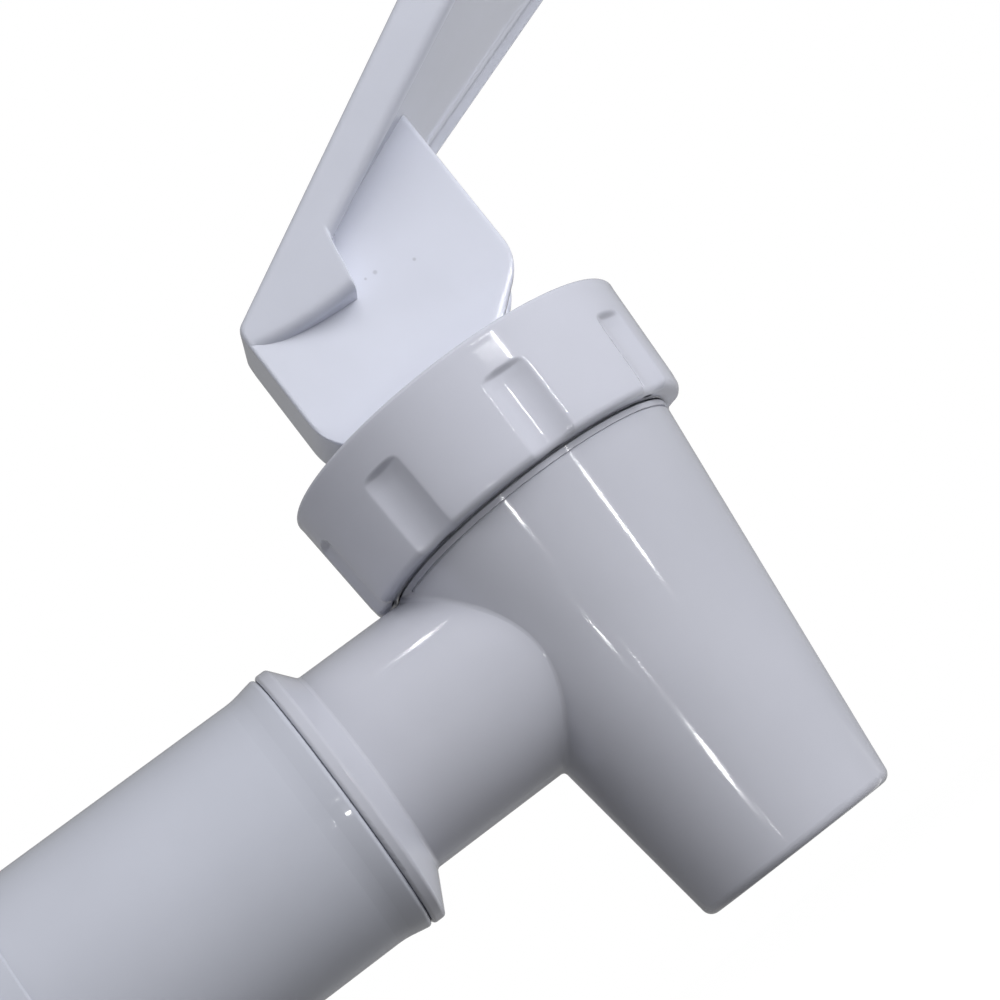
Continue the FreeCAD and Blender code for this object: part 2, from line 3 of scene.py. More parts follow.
import bmesh
import bpy
import numpy as np
from bpy.props import FloatProperty, FloatVectorProperty, PointerProperty
from mathutils import Matrix, Vector


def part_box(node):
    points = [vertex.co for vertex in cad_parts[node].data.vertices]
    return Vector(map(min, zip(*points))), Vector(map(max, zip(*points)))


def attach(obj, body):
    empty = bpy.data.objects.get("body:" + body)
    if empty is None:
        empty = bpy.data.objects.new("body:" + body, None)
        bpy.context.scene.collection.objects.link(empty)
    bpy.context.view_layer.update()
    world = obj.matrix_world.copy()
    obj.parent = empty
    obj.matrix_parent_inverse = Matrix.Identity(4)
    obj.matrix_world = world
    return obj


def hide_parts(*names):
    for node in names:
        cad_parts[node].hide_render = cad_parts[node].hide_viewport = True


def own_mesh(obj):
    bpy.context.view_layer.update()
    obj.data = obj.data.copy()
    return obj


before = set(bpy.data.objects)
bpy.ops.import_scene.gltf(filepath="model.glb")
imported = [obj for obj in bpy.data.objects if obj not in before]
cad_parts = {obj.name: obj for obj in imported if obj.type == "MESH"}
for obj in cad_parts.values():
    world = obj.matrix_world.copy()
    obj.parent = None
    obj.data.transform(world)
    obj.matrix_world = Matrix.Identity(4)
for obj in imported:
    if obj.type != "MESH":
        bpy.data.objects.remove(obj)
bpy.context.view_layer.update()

bl_info = {
    "name": "Dispenser tap dresser",
    "version": (1, 0, 0),
    "blender": (4, 5, 0),
    "location": "3D View > Sidebar > Tap",
    "description": "Builds the visible mouldings of a lever tap over its CAD frame",
    "category": "Object",
}

# The pieces are worked out in millimetres from the tap's axis and over the cap's lower edge, which
# lie here in the frame.
MM = 0.001
TAP_X = 60.0
CAP_LOW = 10.0
# Points of a mesh that lie closer than this, in metres, are one.
MERGE = 2e-6


class CapSettings(bpy.types.PropertyGroup):
    """The screwed cap and its grip grooves."""

    base_radius: FloatProperty(
        name="Lower radius", description="Radius of the cap's wall at its foot",
        default=0.0153, unit="LENGTH",
    )
    flare: FloatProperty(
        name="Flare", description="How much wider the cap is at its top",
        default=0.0007, unit="LENGTH",
    )
    height: FloatProperty(
        name="Height", description="Height of the cap",
        default=0.0104, unit="LENGTH",
    )
    low_round: FloatProperty(
        name="Lower round", description="Round of the cap's lower edge",
        default=0.0007, unit="LENGTH",
    )
    top_round: FloatProperty(
        name="Top round", description="Round of the cap's top edge",
        default=0.00035, unit="LENGTH",
    )
    groove_depth: FloatProperty(
        name="Groove depth", description="Depth of a groove at its middle",
        default=0.0007, unit="LENGTH",
    )
    groove_width: FloatProperty(
        name="Groove width", description="Width of a grip groove",
        default=0.0039, unit="LENGTH",
    )
    groove_top: FloatProperty(
        name="Groove top", description="How far up the wall a groove ends",
        default=0.0073, unit="LENGTH",
    )
    groove_corner: FloatProperty(
        name="Groove corner", description="Radius of a groove's upper corners",
        default=0.0009, unit="LENGTH",
    )
    groove_hollow: FloatProperty(
        name="Groove hollow", description="Radius of a groove's hollow floor",
        default=0.0035, unit="LENGTH",
    )


class LeverSettings(bpy.types.PropertyGroup):
    """The thumb lever's cheeks and its wing-shaped paddle."""

    slope: FloatProperty(
        name="Slope", description="Rise of the paddle",
        default=math.radians(26.0), subtype="ANGLE",
    )
    spread: FloatProperty(
        name="Spread", description="Turn of each side edge",
        default=math.radians(18.0), subtype="ANGLE",
    )
    reach: FloatProperty(
        name="Tip", description="Distance of the tip in front of the axis",
        default=0.040, unit="LENGTH",
    )
    corner: FloatProperty(
        name="Tip corner", description="Radius of the tip's corners in plan",
        default=0.005, unit="LENGTH",
    )
    top_edge: FloatProperty(
        name="Upper edge", description="Round of the paddle's upper edge",
        default=0.0008, unit="LENGTH",
    )
    low_edge: FloatProperty(
        name="Lower edge", description="Round of the bead under the edge",
        default=0.0011, unit="LENGTH",
    )
    bead_drop: FloatProperty(
        name="Bead drop", description="How far the bead stands down",
        default=0.00085, unit="LENGTH",
    )
    cheek_edge: FloatProperty(
        name="Cheek edge", description="Round of a cheek's front edge",
        default=0.0005, unit="LENGTH",
    )
    dish: FloatProperty(
        name="Thumb dish", description="Depth of the thumb rest",
        default=0.0004, unit="LENGTH",
    )


class InnerSettings(bpy.types.PropertyGroup):
    """Thread, spring and seat cup."""

    thread_pitch: FloatProperty(
        name="Thread pitch", description="Rise of the socket's thread per turn",
        default=0.0023, unit="LENGTH",
    )
    thread_depth: FloatProperty(
        name="Thread depth", description="How far the thread stands in",
        default=0.00085, unit="LENGTH",
    )
    wire_radius: FloatProperty(
        name="Wire radius", description="Radius of the spring's wire",
        default=0.0004, unit="LENGTH",
    )
    coil_radius: FloatProperty(
        name="Coil radius", description="Radius of the spring's coil",
        default=0.0046, unit="LENGTH",
    )


class FinishSettings(bpy.types.PropertyGroup):
    """Colours and gloss of the materials."""

    shell_tint: FloatVectorProperty(
        name="Shell tint", description="Spout and neck",
        subtype="COLOR", default=(0.452, 0.462, 0.522),
    )
    sleeve_tint: FloatVectorProperty(
        name="Sleeve tint", description="Inlet sleeve",
        subtype="COLOR", default=(0.450, 0.467, 0.532),
    )
    cap_tint: FloatVectorProperty(
        name="Cap tint", description="Screwed cap",
        subtype="COLOR", default=(0.520, 0.532, 0.605),
    )
    lever_tint: FloatVectorProperty(
        name="Lever tint", description="Thumb lever",
        subtype="COLOR", default=(0.600, 0.620, 0.705),
    )
    stem_tint: FloatVectorProperty(
        name="Stem tint", description="Stem and washer",
        subtype="COLOR", default=(0.660, 0.660, 0.620),
    )
    silicone_tint: FloatVectorProperty(
        name="Silicone tint", description="Gasket and cup",
        subtype="COLOR", default=(0.640, 0.650, 0.640),
    )
    wire_tint: FloatVectorProperty(
        name="Wire tint", description="Spring wire",
        subtype="COLOR", default=(0.600, 0.600, 0.610),
    )
    gloss: FloatProperty(
        name="Roughness", description="Mean roughness of the mouldings",
        default=0.07, min=0.0, max=1.0,
    )


class StageSettings(bpy.types.PropertyGroup):
    """Floor, lamps and camera."""

    floor_level: FloatProperty(
        name="Floor level", description="Height of the floor",
        default=-0.10, unit="LENGTH",
    )
    lens: FloatProperty(
        name="Lens", description="Focal length in millimetres",
        default=85.61, min=10.0,
    )
    room_light: FloatProperty(
        name="Room light", description="Even light from all sides",
        default=0.07, min=0.0,
    )


def smooth_step(value):
    """Eases from 0 to 1 with level ends: three times the square less twice the cube."""
    share = np.clip(value, 0.0, 1.0)
    return share * share * (3.0 - 2.0 * share)


def quarter(count):
    """Angles over a quarter turn."""
    return np.linspace(0.0, math.pi / 2, count)


def full_turn(count):
    """Even angles round a circle, without the closing one."""
    return np.linspace(0.0, 2 * math.pi, count, endpoint=False)


def rounded_in(distance, radius):
    """How far an outline draws in at a distance before its end, along a quarter circle."""
    short = np.clip(1.0 - distance / radius, 0.0, 1.0)
    return radius * (1.0 - np.sqrt(1.0 - short * short))


def quads(rows, columns, wrap_rows):
    """Corner numbers of the faces of a grid whose columns go round, and whose rows may."""
    row = np.arange(rows if wrap_rows else rows - 1)[:, None]
    column = np.arange(columns)[None, :]
    below, beside = (row + 1) % rows, (column + 1) % columns
    corners = (
        row * columns + column,
        row * columns + beside,
        below * columns + beside,
        below * columns + column,
    )
    return np.stack(np.broadcast_arrays(*corners), axis=-1).reshape(-1, 4)


def grid_piece(name, points, wrap_rows=False, sharp=35.0):
    """Puts a grid of points, given in millimetres, into a mesh with merged seams and poles."""
    faces = quads(points.shape[0], points.shape[1], wrap_rows)
    mesh = bpy.data.meshes.new(name)
    mesh.from_pydata((points.reshape(-1, 3) * MM).tolist(), [], faces.tolist())
    work = bmesh.new()
    work.from_mesh(mesh)
    bmesh.ops.remove_doubles(work, verts=work.verts, dist=MERGE)
    loose = [edge for edge in work.edges if not edge.link_faces]
    bmesh.ops.delete(work, geom=loose, context="EDGES")
    bmesh.ops.recalc_face_normals(work, faces=work.faces)
    work.to_mesh(mesh)
    work.free()
    mesh.shade_smooth()
    mesh.set_sharp_from_angle(angle=math.radians(sharp))
    piece = bpy.data.objects.new(name, mesh)
    bpy.context.scene.collection.objects.link(piece)
    return piece


def with_ends(points):
    """Closes the first and last ring of a grid on its own middle point."""
    first = np.broadcast_to(points[0].mean(axis=0), points[0].shape)
    last = np.broadcast_to(points[-1].mean(axis=0), points[-1].shape)
    return np.concatenate([first[None], points, last[None]])


def turned(radius, height, turns):
    """Rings about the tap's axis: a ring's radius may change on its way round, its height not."""
    across = radius * np.cos(turns)[None, :]
    return np.stack([
        across + TAP_X,
        radius * np.sin(turns)[None, :],
        np.broadcast_to(height[:, None] + CAP_LOW, across.shape),
    ], axis=-1)


# The cap's grip grooves: how many, the first one's turn, and the wall's radius at half height.
GROOVES = 8
FIRST_GROOVE = math.radians(6.0)
WALL_MIDDLE = 15.65


def cap_outline(cap):
    """The cap's closed wall outline: radius, height and whether grooves may cut there.

    It runs from the lower round up the tapered wall, round the top edge, over the roof to the
    stem's hole, and back down the inside past the roof's recess and the bore.
    """
    base, top = cap.base_radius / MM, (cap.base_radius + cap.flare) / MM
    high, low, crown = cap.height / MM, cap.low_round / MM, cap.top_round / MM
    turn = quarter(8)
    # The rings lie close together where the grooves end.
    coarse_to, fine_from, fine_to, fine_step, coarse_from = 5.9, 5.955, 7.8, 0.055, 7.9
    wall = np.concatenate([
        np.linspace(low, coarse_to, 10)[1:],
        np.arange(fine_from, fine_to, fine_step),
        np.linspace(coarse_from, high - crown, 6)[:-1],
    ])
    outside = np.concatenate([
        base - low + low * np.sin(turn),
        base + (top - base) * wall / high,
        top - crown + crown * np.cos(turn),
    ])
    outside_up = np.concatenate([
        low - low * np.cos(turn),
        wall,
        high - crown + crown * np.sin(turn),
    ])
    # The stem's hole, the recess for the washer and the bore: radii, levels and bevels.
    hole, recess, bore = 3.08, 8.0, 13.35
    recess_up, bore_up = 7.8, 7.2
    hole_bevel, foot_bevel = 0.12, 0.15
    inner = np.array([
        (14.6, high),
        (13.0, high),
        (11.0, high),
        (9.0, high),
        (7.0, high),
        (5.0, high),
        (3.5, high),
        (hole + hole_bevel, high),
        (hole, high - hole_bevel),
        (hole, recess_up + hole_bevel),
        (hole + hole_bevel, recess_up),
        (5.6, recess_up),
        (recess, recess_up),
        (recess, bore_up),
        (10.6, bore_up),
        (bore, bore_up),
        (bore, foot_bevel),
        (bore + foot_bevel, 0.0),
        (14.1, 0.0),
    ])
    radius = np.concatenate([outside, inner[:, 0]])
    height = np.concatenate([outside_up, inner[:, 1]])
    return radius, height, np.arange(radius.size) < outside.size


def groove_angles(cap):
    """Column angles about one groove, close together where its sides fall."""
    half = cap.groove_width / MM / 2
    within, beyond, coarse_step, fine_step = 0.6, 0.62, 0.1, 0.045
    beside = np.concatenate([
        np.array([0.0, 0.3, 0.6]),
        np.arange(0.75, half - within, coarse_step),
        np.arange(half - within, half + beyond, fine_step),
        np.array([2.7, 2.9, 3.2, 3.6, 4.2, 4.8, 5.4]),
    ])
    turns = np.arcsin(beside / WALL_MIDDLE)
    return np.concatenate([-turns[:0:-1], turns, [math.pi / GROOVES]])


class TAP_OT_cap(bpy.types.Operator):
    """Builds the screwed cap with its grip grooves."""

    bl_idname = "tap.cap"
    bl_label = "Screwed cap"

    def execute(self, context):
        cap = context.scene.tap_cap
        radius, height, outside = cap_outline(cap)
        local = groove_angles(cap)
        centres = FIRST_GROOVE + np.arange(GROOVES) * 2 * math.pi / GROOVES
        turns = (centres[:, None] + local[None, :]).ravel()
        swing = np.tile(local, GROOVES)
        # Across, a groove is a hollow arc with soft rims, which run out on the wall. It is one
        # corner narrower at its upper end, where its depth fades in a steep step and a slow one.
        softness, rim_end, rim_ease = 0.025, 3.1, 0.8
        steep, slow, steep_share, slow_share = 0.55, 1.7, 0.65, 0.35
        beside = np.abs(radius[:, None] * np.sin(swing)[None, :])
        below = (cap.groove_top / MM - height)[:, None]
        half = cap.groove_width / MM / 2 - rounded_in(below, cap.groove_corner / MM)
        hollow = cap.groove_hollow / MM
        rim = np.sqrt(hollow ** 2 - half ** 2)
        arc = (np.sqrt(np.clip(hollow ** 2 - beside ** 2, 0.0, None)) - rim) / (hollow - rim)
        soft = 0.5 * (arc + np.sqrt(arc * arc + softness))
        across = soft * smooth_step((rim_end - beside) / rim_ease)
        fade = steep_share * smooth_step(below / steep) + slow_share * smooth_step(below / slow)
        depth = cap.groove_depth / MM * across * fade
        cut = radius[:, None] - outside[:, None] * depth
        points = turned(cut, height, turns)
        piece = grid_piece("bonnet_cap_moulding", points, wrap_rows=True, sharp=50.0)
        tint = context.scene.tap_finish
        piece.data.materials.append(moulded_plastic("cap_plastic", tint.cap_tint, tint.gloss))
        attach(piece, "tap_body")
        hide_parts("bonnet_cap")
        return {"FINISHED"}


# What the joint and the cap fix of the lever: how far the web lies behind the axis and the cheeks
# reach before it, the level of the paddle's top over the web, the cheeks' foot, half the width
# there, the thickness of the walls, and the pivot's height.
REACH = 10.95
LEVER_TOP = 24.9
FOOT = 10.52
HALF = 4.45
WALL = 1.6
PIVOT = 13.4
# Rounds of the paddle's tip, and of the web's corners and the walls' lower edges.
TIP_ROUND = 0.8
WALL_ROUND = 0.3
# The underside of the cheeks: place and radius of the heel, cam and front arcs, and the cam's
# slope with its two ends.
HEEL_X, HEEL_RADIUS = -6.35, 4.6
CAM_X, CAM_RADIUS = 2.808, 3.0
FRONT_X, FRONT_UP, FRONT_RADIUS = 6.55, 7.967, 4.4
CAM_DEGREES = 40.0
SLOPE_FROM, SLOPE_TO = 4.736, 9.378


def paddle_rows(lever):
    """Cross-sections of the paddle, from its heel to its tip.

    A section is a flat bar whose half width grows at the spread angle and turns in along the
    corner's arc, whose top rises at the slope, and whose underside is the heel, the slanted step,
    and then the plate with a bead along its edges.
    """
    # The heel's underside: its depth under the top, how much and from where it rises to the back.
    heel_deep, heel_rise, heel_from, heel_length, heel_power = 3.65, 1.3, -1.56, 9.39, 2.2
    # The step up to the plate, and the plate's depth at the back and growth per millimetre.
    step_from, step_length, plate_deep, plate_growth = -1.68, 1.04, 2.8, 0.04
    # The bead's width and inner flank, and how the hollow inside it eases at its back and front.
    bead, flank, back_from, back_ease, front_to, front_ease = 1.6, 0.4, -0.6, 1.3, 2.2, 1.2
    # Rounds of the heel's end, and how far the tip's crest stays inside the solid's box.
    heel_round, heel_side_round, inside_box = 0.6, 0.3, 0.004
    tip, corner = lever.reach / MM, lever.corner / MM
    spread, rise = math.tan(lever.spread), math.tan(lever.slope)
    turn_x = tip - corner
    turn_y = HALF + (turn_x + REACH) * spread - corner / math.cos(lever.spread)
    bend = turn_x - corner * math.sin(lever.spread)
    swing = np.linspace(-lever.spread, math.radians(86.0), 26)
    start = 0.02 - REACH
    x = np.concatenate([
        start + heel_round * (1.0 - np.cos(quarter(9))),
        np.linspace(-10.0, -1.9, 16),
        np.linspace(-1.75, -0.55, 13),
        np.linspace(-0.4, 2.0, 13),
        np.linspace(3.0, bend - 0.5, 18),
        turn_x + corner * np.sin(swing),
        tip - TIP_ROUND * (1.0 - np.cos(quarter(8)))[::-1],
    ])
    x = np.unique(np.round(x, 4))
    within = np.clip(corner ** 2 - (x - turn_x) ** 2, 0.0, None)
    half = np.where(x < bend, HALF + (x + REACH) * spread, turn_y + np.sqrt(within))
    nose = rounded_in(tip - x, TIP_ROUND)
    half = half - nose - rounded_in(x - start, heel_side_round)
    top = LEVER_TOP + (x + REACH) * rise - rounded_in(x - start, heel_round)
    # The tip's upper edge is a round that touches the slope and the upright end.
    round_x = tip - TIP_ROUND
    crest = LEVER_TOP + (round_x + REACH) * rise - TIP_ROUND / math.cos(lever.slope) - inside_box
    arc = crest + np.sqrt(np.clip(TIP_ROUND ** 2 - (x - round_x) ** 2, 0.0, None))
    top = np.where(x > round_x - TIP_ROUND * math.sin(lever.slope), arc, top)
    under = LEVER_TOP - plate_deep + (x + REACH) * (rise - plate_growth)
    drop = lever.bead_drop / MM
    behind = np.clip(heel_from - x, 0.0, None) / heel_length
    heel = LEVER_TOP - heel_deep + heel_rise * behind ** heel_power
    low = heel + smooth_step((x - step_from) / step_length) * (under - drop - heel) + nose
    hollow = drop * smooth_step((x - back_from) / back_ease)
    hollow = hollow * smooth_step((tip - front_to - x) / front_ease)
    # No edge round takes more than this share of the bar's height.
    most = 0.4 * (top - low)
    edge = np.minimum(lever.low_edge / MM, most)[:, None]
    crown = np.minimum(lever.top_edge / MM, most)[:, None]
    half, top, low, hollow = half[:, None], top[:, None], low[:, None], hollow[:, None]

    turn = quarter(9)[None, :]
    fall = np.linspace(0.0, 1.0, 7)[None, 1:]
    inner = np.array([0.0, 0.3, 0.6, 0.85, 1.0])[None, :]
    back = inner[:, 3::-1]
    across = np.concatenate([
        (half - bead) * inner,
        half - bead + flank * fall,
        half - edge * (1.0 - np.sin(turn)),
        half * np.ones((1, 3)),
        half - crown * (1.0 - np.cos(turn)),
        (half - crown) * back,
    ], axis=1)
    # The thumb rest is a shallow dish in the paddle's front half, which eases out on all sides.
    dish_from, dish_ease, tip_gap, tip_ease, side_ease = 8.0, 12.0, 1.5, 10.0, 0.7
    dish = lever.dish / MM * smooth_step((x - dish_from) / dish_ease)
    dish = dish * smooth_step((tip - tip_gap - x) / tip_ease)
    side = top - crown - low - edge
    up = np.concatenate([
        (low + hollow) * np.ones((1, 5)),
        low + hollow * (1.0 - smooth_step(fall)),
        low + edge * (1.0 - np.cos(turn)),
        low + edge + side * np.array([0.25, 0.5, 0.75])[None, :],
        top - crown + crown * np.sin(turn),
        top - dish[:, None] * smooth_step((1.0 - back) / side_ease),
    ], axis=1)
    along = np.broadcast_to(x[:, None], across.shape)
    right = np.stack([along + TAP_X, across, up + CAP_LOW], axis=-1)
    left = right[:, -2:0:-1] * np.array([1.0, -1.0, 1.0])
    return np.concatenate([right, left], axis=1)


def foot_level(x):
    """Underside of the cheeks: heel arc, flat foot, cam arc, cam slope and front arc."""
    slope = math.radians(CAM_DEGREES)
    heel = np.clip(HEEL_X - x, 0.0, HEEL_RADIUS)
    cam = np.clip(x - CAM_X, 0.0, CAM_RADIUS * math.sin(slope))
    level = FOOT + HEEL_RADIUS - np.sqrt(HEEL_RADIUS ** 2 - heel ** 2)
    level = level + CAM_RADIUS - np.sqrt(CAM_RADIUS ** 2 - cam ** 2)
    level = level + math.tan(slope) * np.clip(x - SLOPE_FROM, 0.0, SLOPE_TO - SLOPE_FROM)
    front = np.clip(x, SLOPE_TO, REACH) - FRONT_X
    arc = FOOT + FRONT_UP - np.sqrt(np.clip(FRONT_RADIUS ** 2 - front ** 2, 0.0, None))
    return np.where(x > SLOPE_TO, arc, level)


def arc_places(middle, radius, first, last, count):
    """Places along an arc's chord: the middle plus the radius times the sine of even angles."""
    return middle + radius * np.sin(np.radians(np.linspace(first, last, count)))


def cheek_rows(lever):
    """Cross-sections along the two cheeks and the web behind them, as one band bent to a U.

    Each section is an upright bar: its outer face follows the outer outline, its inner face the
    inner one, and its lower edge the cam's curve at every point across it.
    """
    edge = lever.cheek_edge / MM
    bend = WALL_ROUND - REACH
    cheek = np.concatenate([
        REACH - edge * (1.0 - np.cos(quarter(7))),
        arc_places(FRONT_X, FRONT_RADIUS, 86.0, CAM_DEGREES, 14),
        np.linspace(9.0, 5.0, 5),
        arc_places(CAM_X, CAM_RADIUS, CAM_DEGREES, 0.0, 9),
        np.linspace(2.4, -6.0, 9),
        arc_places(HEEL_X, -HEEL_RADIUS, 0.0, 67.0, 12),
        [bend],
    ])
    cheek = np.unique(np.round(cheek, 4))[::-1]
    drawn = rounded_in(REACH - cheek, edge)
    turn = quarter(6)[1:]
    web_half = 4.0
    web = np.linspace(-web_half, 0.0, 6)
    outer_x = np.concatenate([cheek, bend - WALL_ROUND * np.sin(turn), np.full(web.size, -REACH)])
    outer_y = np.concatenate([
        drawn - HALF,
        WALL_ROUND - HALF - WALL_ROUND * np.cos(turn),
        web,
    ])
    inner_x = np.maximum(outer_x, WALL - REACH)
    inner_y = np.concatenate([
        WALL - HALF - drawn,
        np.full(turn.size, WALL - HALF),
        web * (HALF - WALL) / web_half,
    ])
    flip = np.array([1.0, -1.0])
    outer = np.stack([outer_x, outer_y], axis=-1)
    inner = np.stack([inner_x, inner_y], axis=-1)
    outer = np.concatenate([outer, outer[-2::-1] * flip])
    inner = np.concatenate([inner, inner[-2::-1] * flip])
    # Across the wall, a share of 0 is its outer face and 1 its inner one. Both faces climb from
    # the lower edge to a level inside the paddle.
    face = np.array([1.0, 0.7, 0.4, 0.15])
    corner = WALL_ROUND / WALL
    arc = corner * (1.0 - np.cos(quarter(6)))
    middle = np.linspace(corner, 1.0 - corner, 6)[1:-1]
    share = np.concatenate([np.zeros(face.size), arc, middle, 1.0 - arc[::-1], np.ones(face.size)])
    raised = rounded_in(share * WALL, WALL_ROUND) + rounded_in((1.0 - share) * WALL, WALL_ROUND)
    place = outer[:, None, :] + share[None, :, None] * (inner - outer)[:, None, :]
    low = foot_level(place[..., 0]) + raised[None, :]
    sunk = 1.4
    high = LEVER_TOP - sunk + (place[..., 0] + REACH) * math.tan(lever.slope)
    climb = np.concatenate([face, np.zeros(share.size - 2 * face.size), face[::-1]])
    up = low + climb[None, :] * (high - low)
    return np.stack([place[..., 0] + TAP_X, place[..., 1], up + CAP_LOW], axis=-1)


def stub_rings(side):
    """One pivot stub: a short pin with a bevelled end, turned about the pivot's axis."""
    pin, bevel, inner_end, outer_end = 1.5, 0.25, 0.7, 3.2
    radius = np.array([0.0, pin - bevel, pin, pin, 0.0])
    reach = np.array([inner_end, inner_end, inner_end + bevel, outer_end, outer_end])
    turns = full_turn(40)
    across = radius[:, None] * np.cos(turns)[None, :] + TAP_X
    up = radius[:, None] * np.sin(turns)[None, :] + PIVOT + CAP_LOW
    aside = np.broadcast_to(side * reach[:, None], across.shape)
    return np.stack([across, aside, up], axis=-1)


class TAP_OT_lever(bpy.types.Operator):
    """Builds the thumb lever: paddle, cheeks with their web, and pivot stubs."""

    bl_idname = "tap.lever"
    bl_label = "Thumb lever"

    def execute(self, context):
        lever = context.scene.tap_lever
        tint = context.scene.tap_finish
        plastic = moulded_plastic("lever_plastic", tint.lever_tint, tint.gloss, CHEEK_SPECKS)
        pieces = [
            grid_piece("lever_paddle", with_ends(paddle_rows(lever)), sharp=40.0),
            grid_piece("lever_cheeks", with_ends(cheek_rows(lever)), sharp=40.0),
            grid_piece("lever_stub_near", stub_rings(-1.0)),
            grid_piece("lever_stub_far", stub_rings(1.0)),
        ]
        for piece in pieces:
            piece.data.materials.append(plastic)
            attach(piece, "handle")
        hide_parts("lever")
        return {"FINISHED"}


class TAP_OT_thread(bpy.types.Operator):
    """Builds the thread ridge inside the inlet socket."""

    bl_idname = "tap.thread"
    bl_label = "Socket thread"

    def execute(self, context):
        inner = context.scene.tap_inner
        pitch, depth = inner.thread_pitch / MM, inner.thread_depth / MM
        # A trapezoid ridge follows a helix on the bore and fades out at both ends. Its root lies a
        # little under the bore's surface.
        bore, start, rounds, ease = 9.03, 2.4, 4.6, 1.5
        turns = np.linspace(0.0, 2 * math.pi * rounds, 420)[:, None]
        fade = smooth_step(turns / ease) * smooth_step((turns[-1] - turns) / ease)
        beside = np.array([-0.95, -0.80, -0.34, -0.22, 0.22, 0.34, 0.80, 0.95, 0.95, -0.95])
        crest = np.array([0.0, 0.04, 0.94, 1.0, 1.0, 0.94, 0.04, 0.0, -0.25, -0.25])
        radius = bore - depth * np.where(crest > 0, crest * fade, crest)
        along = start + pitch * turns / (2 * math.pi) + beside
        points = np.stack([along, radius * np.cos(turns), radius * np.sin(turns)], axis=-1)
        piece = grid_piece("sleeve_thread", with_ends(points))
        tint = context.scene.tap_finish
        plastic = moulded_plastic("thread_plastic", tint.sleeve_tint, tint.gloss)
        piece.data.materials.append(plastic)
        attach(piece, "tap_body")
        return {"FINISHED"}


def shorten_with_stem(piece):
    """Gives a piece its own copy of its mesh. Its CAD node shortens towards its upper end when the
    stem lifts, keeping one less the stem's travel over the height; this copy does not shorten.
    """
    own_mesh(piece)


class TAP_OT_spring(bpy.types.Operator):
    """Builds the return spring from round wire with closed end coils."""

    bl_idname = "tap.spring"
    bl_label = "Return spring"

    def execute(self, context):
        inner = context.scene.tap_inner
        wire, coil = inner.wire_radius / MM, inner.coil_radius / MM
        # The wire's axis is a helix that lies flat over its first and last closed part of a turn.
        foot, head, coils, closed = -5.95, 6.9, 7.2, 0.75
        low, high = foot + wire, head - wire
        turns = np.linspace(0.0, coils, 361)[:, None]
        rise = np.clip((turns - closed) / (turns[-1] - 2 * closed), 0.0, 1.0)
        height = low + (high - low) * rise
        angle = 2 * math.pi * turns
        around = full_turn(12)[None, :]
        radius = coil + wire * np.cos(around)
        points = np.stack([
            TAP_X + radius * np.cos(angle),
            radius * np.sin(angle),
            CAP_LOW + height + wire * np.sin(around),
        ], axis=-1)
        piece = grid_piece("return_spring_wire", with_ends(points))
        piece.data.materials.append(drawn_wire(context.scene.tap_finish.wire_tint))
        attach(piece, "swivel")
        shorten_with_stem(piece)
        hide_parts("return_spring")
        return {"FINISHED"}


class TAP_OT_seat_cup(bpy.types.Operator):
    """Builds the silicone seat cup with soft edges."""

    bl_idname = "tap.seat_cup"
    bl_label = "Seat cup"

    def execute(self, context):
        # The wall's outline, as radius and height, is turned about the tap's axis: rim, skirt,
        # plug and the stem's pocket, which is 0.45 mm deeper upwards than the button needs, as the
        # wall lags behind the stem.
        lowest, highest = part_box("seat_cup")
        rim = (highest[0] - lowest[0]) / 2 / MM
        outline = np.array([
            (7.5, 7.15), (10.0, 7.15), (rim, 7.15), (rim, 6.05), (10.5, 6.05), (8.5, 6.05),
            (8.1, 1.5), (7.65, -3.2), (7.3, -7.5), (6.9, -8.1), (6.6, -8.5), (6.6, -12.0),
            (6.6, -15.2), (6.3, -15.55), (3.0, -15.55), (0.0, -15.55), (0.0, -12.3), (4.0, -12.3),
            (4.0, -8.85), (2.7, -8.85), (2.7, -7.5), (6.3, -7.5), (6.75, -2.5), (7.2, 3.0),
        ])
        points = turned(outline[:, :1], outline[:, 1], full_turn(96))
        piece = grid_piece("seat_cup_moulding", points, wrap_rows=True, sharp=40.0)
        tint = context.scene.tap_finish.silicone_tint
        piece.data.materials.append(milky_silicone("cup_silicone", tint))
        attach(piece, "tap_body")
        shorten_with_stem(piece)
        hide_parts("seat_cup")
        return {"FINISHED"}


def plain_node(tree, kind, at, **settings):
    """Adds a shader node and sets its plain properties."""
    node = tree.nodes.new(kind)
    node.location = at
    for key, value in settings.items():
        setattr(node, key, value)
    return node


def noise(tree, at, source, scale, detail):
    """Adds a noise texture on a coordinate output."""
    node = plain_node(tree, "ShaderNodeTexNoise", at)
    node.inputs["Scale"].default_value = scale
    node.inputs["Detail"].default_value = detail
    tree.links.new(source, node.inputs["Vector"])
    return node


